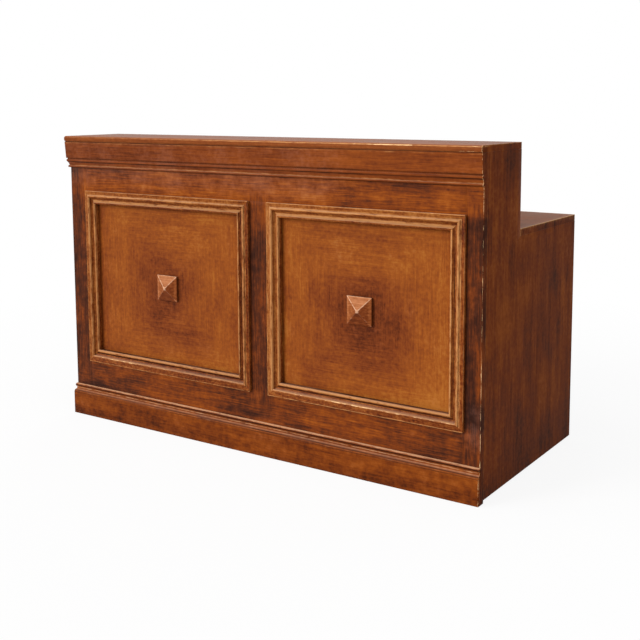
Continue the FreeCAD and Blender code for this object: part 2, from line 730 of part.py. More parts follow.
def make_feet():
    """Levelling feet at the rear, each in a threaded insert in a wood block under the bottom board."""
    inserts = []
    feet = (("left", "left_foot_place"), ("centre", "divider_middle"), ("right", "right_foot_place"))
    for side, across in feet:
        half = "foot_block_size / 2"
        base = (f"{across} - {half}", f"foot_row - {half}", "pad_height")
        size = ("foot_block_size", "foot_block_size", "kick_height - pad_height")
        name = side + "_foot_block"
        axis = (across, "foot_row", "pad_height")
        bores = fused(
            name + "_bores",
            [
                cylinder(
                    name + "_flange_bore",
                    "flange_radius + insert_play",
                    "flange_thickness + insert_play",
                    axis,
                ),
                cylinder(
                    name + "_sleeve_bore", "insert_radius + insert_play", "insert_length + insert_play", axis
                ),
                cylinder(
                    name + "_stem_bore", "stem_radius + stem_play", "stem_length + stem_room", axis
                ),
            ],
        )
        node(cut(name, box(name + "_wood", base, size), bores), name)

        bore = "stem_radius + stem_play"
        sleeve = [
            (bore, "0"),
            ("flange_radius", "0"),
            ("flange_radius", "flange_thickness"),
            ("insert_radius", "flange_thickness"),
            ("insert_radius", "insert_length"),
            (bore, "insert_length"),
        ]
        inserts.append(place(turned(side + "_foot_insert", sleeve), axis))

        outline = [
            ("0", "0"),
            ("pad_radius - pad_edge", "0"),
            ("pad_radius", "pad_edge"),
            ("pad_radius", "pad_height"),
            ("stem_radius", "pad_height"),
            ("stem_radius", "pad_height + stem_length"),
            ("0", "pad_height + stem_length"),
        ]
        name = side + "_levelling_foot"
        node(place(turned(name, outline), (across, "foot_row", "0")), name)
    node(group("foot_inserts", inserts), "foot_inserts")


def check():
    """Stop if any object failed or any piece is not a valid solid."""
    for item in DOC.Objects:
        if "Invalid" in item.State or "Error" in item.State:
            raise RuntimeError(f"{item.Label}: {item.State}")
    for item in NODES:
        if item.Shape.isNull() or not item.Shape.isValid() or not item.Shape.Solids:
            raise RuntimeError(f"{item.Label}: not a valid solid")


def write():
    """Write each piece to its own file."""
    os.makedirs("parts", exist_ok=True)
    for item in NODES:
        item.Shape.exportStep(os.path.join("parts", item.Label + ".step"))
        print(f"{item.Label}: {len(item.Shape.Solids)} solid(s), {item.Shape.Volume / 1000:.1f} cm3")


fill_sheets()
make_front_frame()
make_panel(
    "left", "left_opening_start", "left_opening_end", "left_boss_setoff", "opening_middle - left_boss_drop"
)
make_panel(
    "right", "right_opening_start", "right_opening_end", "-right_boss_setoff", "opening_middle"
)
make_cornice()
make_plinth()
make_tops()
make_carcass()
make_corner_blocks()
make_feet()
DOC.recompute()
check()
write()
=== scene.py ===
# %% [markdown]
# A bar counter in stained wood
#
# The counter has a framed front with two moulded panels, a raised ledge along the customer's side and a
# lower worktop behind it. The joiner's model is already measured and fixed, so this lesson only dresses
# it: every wooden piece gets softened edges, a brushed stain with its own grain direction, and wear
# where hands, stools and cloths have rubbed it.

# %% Load the joiner's model
import json
import math

import bmesh
import bpy
import numpy as np
from mathutils import Matrix, Vector


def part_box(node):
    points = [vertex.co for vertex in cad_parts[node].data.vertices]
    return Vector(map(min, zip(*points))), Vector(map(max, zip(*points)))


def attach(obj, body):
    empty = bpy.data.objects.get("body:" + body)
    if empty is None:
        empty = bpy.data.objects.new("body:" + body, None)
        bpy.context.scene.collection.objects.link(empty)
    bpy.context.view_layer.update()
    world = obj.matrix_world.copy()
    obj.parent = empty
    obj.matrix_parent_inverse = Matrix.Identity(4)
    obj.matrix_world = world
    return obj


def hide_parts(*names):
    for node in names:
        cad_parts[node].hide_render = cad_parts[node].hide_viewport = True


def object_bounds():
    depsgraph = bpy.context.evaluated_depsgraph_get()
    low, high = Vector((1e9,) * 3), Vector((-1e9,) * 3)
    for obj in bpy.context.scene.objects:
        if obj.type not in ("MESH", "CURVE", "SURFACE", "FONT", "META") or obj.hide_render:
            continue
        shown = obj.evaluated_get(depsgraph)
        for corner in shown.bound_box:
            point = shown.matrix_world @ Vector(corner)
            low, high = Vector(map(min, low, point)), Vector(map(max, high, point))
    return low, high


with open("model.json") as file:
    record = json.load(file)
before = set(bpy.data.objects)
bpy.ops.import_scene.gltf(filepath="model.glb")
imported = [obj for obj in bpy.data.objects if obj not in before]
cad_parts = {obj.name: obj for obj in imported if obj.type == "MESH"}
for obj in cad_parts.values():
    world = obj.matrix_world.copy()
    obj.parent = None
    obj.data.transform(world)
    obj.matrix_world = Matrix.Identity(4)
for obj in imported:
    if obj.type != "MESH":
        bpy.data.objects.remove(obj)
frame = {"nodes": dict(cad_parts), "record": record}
joiners_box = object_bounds()
body_of = {node: body for body, nodes in frame["record"]["behaviour"]["bodies"].items() for node in nodes}
print("pieces in the model:", len(frame["nodes"]))

# %% [markdown]
# The camera
#
# The photographer stood to the right of the middle, a little above the ledge, and the upright edges
# stay almost parallel. A camera that is tilted down makes them lean together. So this one is tilted
# only a little, and the lens is shifted down by a part of the frame, as with a view camera.

# %% Camera at the photographer's place
# The photograph's side and the focal length are in pixels, the place is in metres, and the angles are in
# degrees. The shift is a part of the frame's side.
PHOTO_SIDE = 640
FOCAL_PIXELS = 1022.2
SENSOR_MM = 36
CAMERA_PLACE = Vector((2.0849, -3.0268, 1.1926))
CAMERA_TURN = 33.943
CAMERA_TILT = 6.891
CAMERA_ROLL = -0.248
LENS_SHIFT = -0.15

camera = bpy.data.objects.new("camera", bpy.data.cameras.new("camera"))
bpy.context.scene.collection.objects.link(camera)
camera.data.sensor_width = SENSOR_MM
camera.data.lens = FOCAL_PIXELS * SENSOR_MM / PHOTO_SIDE
camera.data.shift_y = LENS_SHIFT
turn = Matrix.Rotation(math.radians(CAMERA_TURN), 4, "Z")
tilt = Matrix.Rotation(math.radians(90 - CAMERA_TILT), 4, "X")
roll = Matrix.Rotation(math.radians(CAMERA_ROLL), 4, "Z")
camera.matrix_world = Matrix.Translation(CAMERA_PLACE) @ turn @ tilt @ roll
bpy.context.scene.camera = camera
print("lens in millimetres:", round(camera.data.lens, 1))

# %% [markdown]
# Colours and nodes
#
# Paint colours are picked on a screen, so they are written as sRGB hex values. Blender mixes
# light in linear values, so one function turns the first into the second. A second small function adds
# a node to a material, with its settings and with what is plugged into it. All the finishes below are
# made with these two.

# %% Colour and node helpers
def linear(hex_colour):
    """A screen colour such as '#8a4a26' as linear red, green, blue and alpha."""
    channels = [int(hex_colour[place:place + 2], 16) / 255 for place in (1, 3, 5)]
    return [c / 12.92 if c <= 0.04045 else ((c + 0.055) / 1.055) ** 2.4 for c in channels] + [1.0]


def add(tree, kind, sockets=None, out=0, **settings):
    """Add a node with its settings and its inputs, plain values or links, and give back one output."""
    node = tree.nodes.new(kind)
    for name, value in settings.items():
        setattr(node, name, value)
    for key, value in (sockets or {}).items():
        if isinstance(value, bpy.types.NodeSocket):
            tree.links.new(value, node.inputs[key])
        else:
            node.inputs[key].default_value = value
    return node.outputs[out] if len(node.outputs) else None


def empty_material(name):
    """A material with no nodes yet."""
    material = bpy.data.materials.new(name)
    material.use_nodes = True
    material.node_tree.nodes.clear()
    return material


print("a mid brown in linear values:", [round(channel, 3) for channel in linear("#8a4a26")])

# %% [markdown]
# Light
#
# The counter was photographed on white, in soft light from the front and the left. The shadows show it:
# the inner sides of the left mouldings and the outer sides of the right ones are dark, and so is the
# right end. A wide, distant lamp lights the whole front evenly, an overhead one brightens the upper
# sides, a weak one behind shows the staff's side, and a white surround fills the rest. The surround
# lights the wood at less than full strength, but where it is seen it is plain white. The lamp behind
# is kept out of reflections, or it would glare on the ledge.

# %% Lamps
def lamp_towards(name, kind, direction, place=(0, 0, 0)):
    """A lamp that shines along a direction."""
    lamp = bpy.data.objects.new(name, bpy.data.lights.new(name, kind))
    bpy.context.scene.collection.objects.link(lamp)
    lamp.location = place
    lamp.rotation_mode = "QUATERNION"
    lamp.rotation_quaternion = Vector(direction).to_track_quat("-Z", "Y")
    return lamp


window = lamp_towards("wide_window", "SUN", (0.60, 0.85, -0.45)).data
window.angle = math.radians(28)
window.energy = 2.4
ceiling = lamp_towards("ceiling_soft_box", "AREA", (0, 0.15, -1), (0.0, -0.9, 3.4)).data
ceiling.shape = "RECTANGLE"
ceiling.size, ceiling.size_y = 3.0, 1.6
ceiling.energy = 38
rear = lamp_towards("rear_fill", "SUN", (0.20, -0.95, -0.12))
rear.visible_glossy = False
rear.data.angle = math.radians(60)
rear.data.energy = 1.3
bpy.context.scene.view_settings.view_transform = "Standard"

# %% White surround
SURROUND = 0.42


def seen_rays(tree):
    """1 for what is seen directly, mirrored or through glass, 0 for the light that falls on things."""
    seen = 0.0
    for kind in ("Is Camera Ray", "Is Glossy Ray", "Is Transmission Ray"):
        ray = add(tree, "ShaderNodeLightPath", out=kind)
        seen = add(tree, "ShaderNodeMath", {0: seen, 1: ray}, operation="MAXIMUM")
    return seen


world = bpy.data.worlds.new("white_studio")
bpy.context.scene.world = world
world.use_nodes = True
tree = world.node_tree
tree.nodes.clear()
level = add(tree, "ShaderNodeMix", {0: seen_rays(tree), 2: SURROUND, 3: 1.0}, data_type="FLOAT")
glow = add(tree, "ShaderNodeBackground", {"Color": linear("#ffffff"), "Strength": level})
add(tree, "ShaderNodeOutputWorld", {"Surface": glow})
print("surround lights the wood at", SURROUND)

# %% [markdown]
# Paper floor
#
# The floor is a sheet of matt white paper. Paper that is only lit looks grey towards the horizon, so
# part of what is seen of it is plain white instead. That part grows with the distance: near the counter
# the paper keeps a faint shadow, and further out it is as white as the surround. From below the paper is
# clear, so that the feet can be looked at.

# %% Floor that keeps a faint shadow
# The shadow starts to pale at the first distance from the middle and is gone at the second, in metres.
SHADOW_NEAR, SHADOW_FAR = 1.0, 3.0
WHITE_NEAR = 0.9
FLOOR_REACH = 14

paper = empty_material("matt_white_paper")
tree = paper.node_tree
matt = add(tree, "ShaderNodeBsdfDiffuse", {"Color": linear("#f2f2f2")})
bright = add(tree, "ShaderNodeEmission", {"Color": linear("#ffffff"), "Strength": 1.0})
place = add(tree, "ShaderNodeTexCoord", out="Object")
reach = add(tree, "ShaderNodeVectorMath", {0: place}, out="Value", operation="LENGTH")
share = add(tree, "ShaderNodeMapRange", {0: reach, 1: SHADOW_NEAR, 2: SHADOW_FAR, 3: WHITE_NEAR, 4: 1.0})
share = add(tree, "ShaderNodeMath", {0: share, 1: seen_rays(tree)}, operation="MULTIPLY")
both = add(tree, "ShaderNodeMixShader", {0: share, 1: matt, 2: bright})
from_below = add(tree, "ShaderNodeNewGeometry", out="Backfacing")
clear = add(tree, "ShaderNodeBsdfTransparent")
sheet = add(tree, "ShaderNodeMixShader", {0: from_below, 1: both, 2: clear})
add(tree, "ShaderNodeOutputMaterial", {"Surface": sheet})

bm = bmesh.new()
bmesh.ops.create_grid(bm, x_segments=1, y_segments=1, size=FLOOR_REACH)
mesh = bpy.data.meshes.new("paper_floor")
bm.to_mesh(mesh)
bm.free()
mesh.materials.append(paper)
floor = bpy.data.objects.new("paper_floor", mesh)
bpy.context.scene.collection.objects.link(floor)
print("floor in metres:", [round(side, 1) for side in floor.dimensions])

# %% [markdown]
# Brush marks
#
# A brush leaves long thin streaks along its stroke and, where strokes meet, round blotches. Noise that
# is drawn out along one axis gives the streaks, and noise that isn't gives the blotches. A second axis
# is for pieces that were brushed both ways, and a number stored on their points, "cross", says where.
# The noise is laid in the counter's own space, so the stain runs on over the joints.

# %% Streaks and blotches
MM = 0.001


def brush_marks(tree, axes, width_mm, length_mm, detail=4.0):
    """Streaks along an axis, or along a second one where the piece is brushed across."""
    place = add(tree, "ShaderNodeTexCoord", out="Object")
    marks = []
    for axis in axes:
        scale = [1 / (width_mm * MM)] * 3
        scale["XYZ".index(axis)] = 1 / (length_mm * MM)
        drawn = add(tree, "ShaderNodeMapping", {"Vector": place, "Scale": scale})
        pattern = {"Vector": drawn, "Scale": 1.0, "Detail": detail, "Roughness": 0.6}
        marks.append(add(tree, "ShaderNodeTexNoise", pattern))
    if len(marks) == 1:
        return marks[0]
    cross = add(tree, "ShaderNodeAttribute", out="Fac", attribute_name="cross")
    return add(tree, "ShaderNodeMix", {0: cross, 2: marks[0], 3: marks[1]}, data_type="FLOAT")


def weighed(tree, start, *parts):
    """A starting number plus patterns, each times its weight and taken from its middle value."""
    total = start
    for pattern, weight, middle in parts:
        lift = add(tree, "ShaderNodeMath", {0: pattern, 1: middle}, operation="SUBTRACT")
        total = add(tree, "ShaderNodeMath", {0: lift, 1: weight, 2: total}, operation="MULTIPLY_ADD")
    return total


print("one millimetre is", MM, "of Blender's units")

# %% [markdown]
# Stain, wear and painted light
#
# The wood is a pale hardwood with a brown stain brushed over it and a satin varnish on top. The stain's
# colour runs from dark, where the brush left much, to light, where it left little. Five more numbers on
# the points of a piece say where the wood is stained lighter or darker and where light and shade are
# painted into it ("tone"), where it is dirty and where shade is painted ("grime"),
# where a greyish film of old wax and a painted sheen dull it ("film"), where it is rubbed through to a
# golden tan and where highlights are painted ("rub"), and where it is chipped to the cream
# primer and a few highlights are painted as chips ("chip"). What faces up gets a pale bloom
# of dust and of a painted sheen of the light from above. A photograph of wood could be laid on instead,
# but it would repeat, and it wouldn't know where this counter's ridges and hollows are.

# %% The finish that all the wooden pieces share
# The dark colour is for dirt and painted shade, the grey film for old wax and a painted sheen, the pale
# pink for dust and a painted sheen, and the cream for chips and a few painted highlights.
DIRT, FILM, DUST, PRIMER = "#2a1006", "#9c7a70", "#b48a70", "#f0c48e"
# Widths and lengths in millimetres. Pores are under 0.3 mm wide, too fine for the render, so they are
# drawn ten times as coarse.
SMEAR_MM, PORE_MM, PATCH_MM, FLAKE_MM = (35, 260), (3.5, 16), (7, 40), (5, 24)


def stained_wood(name, stain, axes, streak=0.9, cloud=0.5, mottle=0.5, streak_mm=(4.5, 90), cloud_mm=130,
                 spot_mm=14, bare="#cb9058", rubbing=0.7, bloom=0.3, shine=0.04, rough=0.45):
    """Brushed stain: its colours from dark to light, the strokes' axes, the patterns, the wear and the
    painted light.
    """
    material = empty_material(name)
    tree = material.node_tree
    stored = {key: add(tree, "ShaderNodeAttribute", out="Fac", attribute_name=key)
              for key in ("tone", "grime", "film", "rub", "chip")}
    lines = brush_marks(tree, axes, *streak_mm)
    smears = brush_marks(tree, axes, *SMEAR_MM)
    clouds = brush_marks(tree, "X", cloud_mm, cloud_mm, detail=5.0)
    spots = brush_marks(tree, "X", spot_mm, spot_mm, detail=5.0)
    pores = brush_marks(tree, axes, *PORE_MM, detail=2.0)
    patches = brush_marks(tree, axes, *PATCH_MM)
    flakes = brush_marks(tree, axes, *FLAKE_MM)

    # The tone makes the stain lighter or darker, and carries painted light and shade.
    shade = weighed(tree, 0.5, (lines, streak, 0.5), (smears, cloud, 0.5), (clouds, cloud, 0.5),
                    (spots, mottle, 0.5), (pores, 0.3, 0.5), (stored["tone"], 1.0, 0.0))
    colour = add(tree, "ShaderNodeValToRGB", {0: shade})
    stops = colour.node.color_ramp.elements
    while len(stops) < len(stain):
        stops.new(0.5)
    for number, (stop, stain_colour) in enumerate(zip(stops, stain)):
        stop.position = number / (len(stain) - 1)
        stop.color = linear(stain_colour)

    # What faces up gets a pale bloom: dust, and a painted sheen of the light from above.
    facing = add(tree, "ShaderNodeNewGeometry", out="Normal")
    upward = add(tree, "ShaderNodeSeparateXYZ", {0: facing}, out=2)
    # Darkening for dirt and for painted shade.
    dirty = weighed(tree, 0.0, (stored["grime"], 1.0, 0.0), (clouds, 0.8, 0.5))
    # A greyish film of old wax, and on the left a painted sheen.
    waxed = weighed(tree, 0.0, (stored["film"], 1.0, 0.0), (clouds, 1.5, 0.5), (spots, 1.0, 0.5))
    # Rubbed wear, and painted highlights on the sides that face the light.
    broken = weighed(tree, 1.0, (patches, 3.0, 0.5), (pores, 1.5, 0.5))
    rubbed = add(tree, "ShaderNodeMath", {0: stored["rub"], 1: broken}, operation="MULTIPLY")
    # Chips to the primer, and a few painted highlights drawn as chips.
    chipped = weighed(tree, 0.0, (stored["chip"], 1.0, 0.0), (flakes, 1.2, 0.5), (smears, 1.0, 0.5))
    # Each layer: what places it, the amounts where it starts and is full, its greatest share, its colour.
    layers = ((waxed, 0.1, 1.0, 0.16, FILM), (rubbed, 0.15, 0.9, rubbing, bare),
              (upward, 0.25, 0.95, bloom, DUST), (dirty, 0.1, 0.8, 1.0, DIRT),
              (chipped, 0.7, 0.78, 1.0, PRIMER))
    for amount, start, full, most, paint in layers:
        reach = {0: amount, 1: start, 2: full, 4: most}
        share = add(tree, "ShaderNodeMapRange", reach, interpolation_type="SMOOTHSTEP")
        both = {0: share, 6: colour, 7: linear(paint)}
        colour = add(tree, "ShaderNodeMix", both, out=2, data_type="RGBA")

    varnish = add(tree, "ShaderNodeBsdfPrincipled", {
        "Base Color": colour, "IOR": 1.5, "Specular IOR Level": shine,
        "Roughness": weighed(tree, rough, (clouds, 0.2, 0.5)),
        "Normal": add(tree, "ShaderNodeBump", {"Strength": 0.3, "Distance": 0.5 * MM, "Height": lines})})
    add(tree, "ShaderNodeOutputMaterial", {"Surface": varnish})
    print(name, len(tree.nodes), "nodes")
    return material


finish = {}
print("pores are drawn", PORE_MM[0], "mm wide")

# %% [markdown]
# Softened boards
#
# Sawn boards have sharp corners only on the drawing. On the counter every corner is rounded a little by
# sanding and by use. A copy of each piece is joined into whole faces, its corners are bevelled, and
# cuts through it give the points that hold the wear. A texture could paint a worn edge too, but with
# points the wear stays on the edge whatever the size of the board.

# %% Copying, softening and cutting a piece
SHARP, FLAT = math.radians(30), math.radians(0.5)
TOUCHING = 1e-6


def whole_faces(node):
    """A mesh of one piece with its loose triangles joined."""
    bm = bmesh.new()
    bm.from_mesh(frame["nodes"][node].data)
    bmesh.ops.remove_doubles(bm, verts=bm.verts, dist=TOUCHING)
    bmesh.ops.dissolve_limit(bm, angle_limit=FLAT, verts=bm.verts, edges=bm.edges)
    return bm


def soften(bm, radius_mm, angle):
    """Round the sharp edges that stand out, and tell where they ran."""
    edges = [e for e in bm.edges if len(e.link_faces) == 2 and e.calc_face_angle_signed(0) > angle]
    runs = np.array([[tuple(v.co) for v in e.verts] for e in edges])
    bmesh.ops.bevel(bm, geom=edges, offset=radius_mm * MM, offset_type="OFFSET", segments=2, profile=0.5,
                    affect="EDGES", clamp_overlap=True, material=-1)
    return runs


def cut(bm, axis, places):
    """Cut the mesh by planes across an axis."""
    normal = Vector([float(axis == name) for name in "XYZ"])
    for place in places:
        geometry = bm.verts[:] + bm.edges[:] + bm.faces[:]
        bmesh.ops.bisect_plane(bm, geom=geometry, dist=TOUCHING, plane_co=normal * place, plane_no=normal)


test = whole_faces("left_boss")
print("a boss has", len(test.faces), "whole faces")
test.free()

# %% [markdown]
# Rules for wear
#
# Where a piece is worn depends on where a point of it lies: how far from an edge, how high, how far
# along. One function measures how far away the edges are, and three small ones turn such a distance into
# a number from 0 to 1.

# %% Distances into amounts
def distance_to(points, runs):
    """How far each point lies from the nearest of some straight edges."""
    best = np.full(len(points), np.inf)
    for start, end in runs:
        along = end - start
        share = np.clip((points - start) @ along / (along @ along), 0, 1)
        best = np.minimum(best, np.linalg.norm(points - start - share[:, None] * along, axis=1))
    return best


def fade(values, start, end):
    """0 before start, 1 after end, smooth between."""
    share = np.clip((values - start) / (end - start), 0, 1)
    return share * share * (3 - 2 * share)


def peak(values, middle, width):
    """1 at the middle, falling straight to 0 at a width on both sides."""
    return np.clip(1 - np.abs(values - middle) / width, 0, 1)


def hill(values, middle, width):
    """1 at the middle, falling softly on both sides, to about a third at a width."""
    return np.exp(-((values - middle) / width) ** 2)


print("fade from 0 to 10:", [round(float(fade(value, 0, 10)), 2) for value in (0, 2, 5, 8, 10)])

# %% [markdown]
# The right end
#
# At the right the counter stood against a wall or another counter, so it is cut off flush there and
# everything that shows on that side was stained dark in one go: the end board with its step, and the
# ends of the tops, the frieze, the mouldings and the plinth. So each piece gets this finish on its
# right end besides its own.

# %% Finish of the right end
# Beech with a dark stain, brushed upright and left dull: deep reddish brown with faint streaks.
finish["end"] = stained_wood("dark_stained_beech_end", ("#3a1706", "#6c300d", "#8e4b19"), "Z",
                             streak=0.6, cloud=1.2, mottle=0.7, streak_mm=(8, 240), cloud_mm=160,
                             shine=0.01)
left_edge, right_edge = joiners_box[0][0], joiners_box[1][0]
print("left and right end at", round(left_edge, 3), "and", round(right_edge, 3), "m")


# %% Finished pieces
def keep(bm, node, look, angle, **values):
    """Turn the mesh into the finished piece for a node, with its wear stored on the points."""
    looks = [look]
    for face in bm.faces:
        face.smooth = True
        at_end = face.normal.x > 0.9 and face.calc_center_median().x > right_edge - MM
        if at_end and look != "end":
            face.material_index = 1
            looks = [look, "end"]
    for edge in bm.edges:
        edge.smooth = edge.calc_face_angle(0) < angle
    mesh = bpy.data.meshes.new(node + "_finished")
    bm.to_mesh(mesh)
    bm.free()
    for name, numbers in values.items():
        stored = mesh.attributes.new(name, "FLOAT", "POINT")
        stored.data.foreach_set("value", np.full(len(mesh.vertices), numbers, np.float32))
    for name in looks:
        mesh.materials.append(finish[name])
    piece = bpy.data.objects.new(node + "_finished", mesh)
    bpy.context.scene.collection.objects.link(piece)
    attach(piece, body_of[node])
    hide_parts(node)
    print(node, len(mesh.polygons), "faces")


# %% Boards that are worn by rules
RIM_MM = 12


def all_edges(middle):
    """Every edge of a board is worn. Shorter ones than RIM_MM, such as the rims of holes, never are."""
    return True


def board(node, look, radius_mm=1.0, cell_mm=None, edge_rub=0.0, worn=all_edges, edge_mm=3, angle=SHARP,
          cuts=(), **rules):
    """A board with softened edges, cut into cells. Its wear comes from rules on the points' places."""
    low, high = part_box(node)
    bm = whole_faces(node)
    worn_runs = [ends for ends in soften(bm, radius_mm, angle)
                 if np.linalg.norm(ends[1] - ends[0]) > RIM_MM * MM and worn(ends.mean(axis=0))]
    for axis, start, end in zip("XYZ", low, high):
        places = [place for name, place in cuts if name == axis]
        # A side that is shorter than four edges' widths isn't cut into cells.
        if end - start > 4 * edge_mm * MM:
            count = max(int((end - start) / (cell_mm * MM)), 1) if cell_mm else 1
            places += [start + edge_mm * MM, end - edge_mm * MM]
            places += [start + (end - start) * number / count for number in range(1, count)]
        cut(bm, axis, places)
    points = np.array([tuple(v.co) for v in bm.verts])
    values = {name: rule(points) for name, rule in rules.items()}
    near = np.clip(1 - (distance_to(points, worn_runs) - radius_mm * MM) / (edge_mm * MM), 0, 1)
    values["rub"] = np.maximum(values.get("rub", 0.0), near * edge_rub)
    keep(bm, node, look, angle, **values)


print("edges under", RIM_MM, "mm long are never worn")


# %% End boards
def end_tone(points):
    """Darker at the floor, under the ledge and towards the rear."""
    y, z = points[:, 1], points[:, 2]
    return 0.02 - 0.15 * fade(z, 0.15, 0.0) - 0.1 * fade(z, 0.9, 1.0) - 0.1 * fade(y, 0.25, 0.37)


# Edges higher than this, in metres, lie under the tops.
UNDER_TOPS = 0.6


def upright_edges(middle):
    """The upright edges of an end board, but not those under the tops."""
    return middle[2] < UNDER_TOPS


for side in ("right", "left"):
    board(side + "_end_panel", "end", 1.0, 40, edge_rub=0.35, worn=upright_edges, tone=end_tone)

# %% [markdown]
# The front frame
#
# Two stiles, two rails and a muntin are joined flush and stained together. Beside the panels the brush
# went up and down and left the stain dark. Above them it went along and the coat is thin and orange,
# with painted shade right under the cornice. Below, it is blotchy and dark towards the plinth and the
# ends. Only the free corner at the right is chipped.

# %% Which way the front frame was brushed
# Beech with a brushed stain: streaks along each stroke, and dark blotches where strokes met.
umber = ("#301810", "#4f2614", "#743613", "#904814", "#a65d20")
finish["frame"] = stained_wood("brush_stained_beech_frame", umber, "XZ", streak=1.0, cloud=0.9,
                               mottle=0.6, spot_mm=24)
muntin_low, muntin_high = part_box("centre_muntin")
muntin_x = (muntin_low.x + muntin_high.x) / 2
above, below = muntin_high.z, muntin_low.z
under_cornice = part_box("cornice_front")[0].z
over_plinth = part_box("plinth_cap_front")[1].z


def upright_share(points):
    """1 where the brush went up and down, 0 where it went along."""
    x, z = points[:, 0], points[:, 2]
    left = fade(x, left_edge + 0.11, left_edge + 0.09) * fade(z, over_plinth + 0.003, over_plinth + 0.083)
    right = fade(x, right_edge - 0.07, right_edge - 0.05) * fade(z, above + 0.05, above)
    middle = fade(np.abs(x - muntin_x), 0.05, 0.036) * fade(z, below - 0.06, below)
    middle *= fade(z, above + 0.03, above)
    return np.maximum.reduce([left, right, middle])


print("muntin in the middle at", round(muntin_x, 3), "m")

# %% Where the front frame is light, dark and dull
# Stools knock the right stile's corner at about this height, in metres.
STOOL_HEIGHT = 0.39


def frame_tone(points):
    """How light the stain is on the top rail, the bottom rail and the uprights, and painted shade under
    the cornice.
    """
    x, z = points[:, 0], points[:, 2]
    left = fade(x, left_edge + 0.11, left_edge + 0.07)
    right = fade(x, right_edge - 0.08, right_edge - 0.04)
    middle = peak(x, muntin_x, 0.09)
    top_rail = 0.06 + 0.1 * fade(z, above + 0.05, above)
    # Painted shade right under the cornice, and a darker left end.
    top_rail -= 0.2 * fade(z, under_cornice - 0.01, under_cornice) + 0.2 * left
    top_rail -= 0.12 * middle * fade(z, above + 0.07, above) + 0.04 * fade(x, 0.3, 0.6)
    bottom_rail = 0.28 * hill(x, 0.36, 0.3) + 0.2 * hill(x, -0.32, 0.2) - 0.18
    bottom_rail -= 0.06 * fade(z, over_plinth + 0.033, over_plinth - 0.002)
    bottom_rail -= 0.08 * left + 0.1 * right + 0.15 * middle
    uprights = middle * (0.14 + 0.26 * fade(z, above - 0.16, above) - 0.08 * fade(z, 0.5, 0.35)) - 0.3
    uprights += 0.15 * left * fade(z, 0.6, 0.75) - right * (0.02 + 0.14 * fade(z, 0.34, 0.26))
    stools = fade(np.abs(z - STOOL_HEIGHT), 0.13, 0.04)
    uprights += 0.42 * stools * fade(x, right_edge - 0.032, right_edge - 0.016)
    over = fade(z, above - 0.03, above - 0.002)
    under = fade(z, below + 0.03, below + 0.002)
    return over * top_rail + under * bottom_rail + (1 - over - under) * uprights


def frame_film(points):
    """Old wax with a painted sheen on the left and the middle of the top rail, old wax at the right
    stile's foot.
    """
    x, z = points[:, 0], points[:, 2]
    # Painted sheen, with old wax, on the left and the middle of the top rail.
    top = 0.45 * fade(z, above, above + 0.03) * fade(x, 0.6, 0.2)
    foot = 0.3 * fade(z, 0.38, 0.3) * fade(z, over_plinth + 0.003, over_plinth + 0.083)
    foot *= fade(x, right_edge - 0.08, right_edge - 0.06)
    return np.maximum(top, foot)


print("front frame shows from", round(over_plinth, 3), "to", round(under_cornice, 3), "m")

# %% Stiles, muntin and rails
def before_end(x):
    """1 up to the flush end, 0 on the end itself, where nothing is chipped."""
    return x < right_edge - 0.5 * MM


def flush_corner(points):
    """The coat is chipped along the front corner of the flush end."""
    x = points[:, 0]
    return 0.8 * fade(x, right_edge - 4 * MM, right_edge - MM) * before_end(x)


for node in ("left_stile", "centre_muntin", "top_rail", "bottom_rail"):
    board(node, "frame", 0.3, 25, tone=frame_tone, cross=upright_share, film=frame_film)
board("right_stile", "frame", 0.8, 13, tone=frame_tone, cross=upright_share, film=frame_film,
      chip=flush_corner)

# %% [markdown]
# The panels
#
# Each panel was brushed along its nearest edge, so the streaks are upright at the sides and level at
# the top and bottom. The stain was wiped thin in a ring. The corners and the sides next to the
# mouldings are darkened as painted shade, and the left moulding casts a painted shadow on the panel.
# Soft clouds lie over that, the darkest one round the boss, and a short table places them.

# %% Cross-brushed panels
# Beech with a stain that was wiped while wet: a golden brown with soft clouds.
honey = ("#4c200f", "#763817", "#914c1a", "#a96526")
finish["panel"] = stained_wood("wiped_stain_beech_panel", honey, "ZX", streak=0.7, cloud=0.6,
                               mottle=0.8, cloud_mm=80)
# The clouds on each panel: how far the middle lies right of the boss and above it, how far the cloud
# reaches sideways and up, with 1 at the panel's edge, and how much lighter or darker it is.
CLOUDS = {
    "left": ((-0.06, -0.04, 0.29, 0.4, -0.38), (0.2, -0.53, 0.35, 0.14, -0.18),
             (-0.85, -0.2, 0.25, 1.0, -0.17), (0.85, 0.2, 0.25, 0.9, -0.15),
             (0.1, 0.5, 0.5, 0.15, 0.12), (0.1, -0.78, 0.5, 0.12, 0.17)),
    "right": ((0.06, -0.08, 0.42, 0.48, -0.42), (0.15, 0.46, 0.5, 0.13, 0.24),
              (0.1, -0.76, 0.5, 0.15, 0.2), (0.8, -0.75, 0.35, 0.3, 0.25),
              (-0.5, -0.75, 0.16, 0.3, -0.24), (-0.85, 0.0, 0.2, 0.2, -0.12)),
}


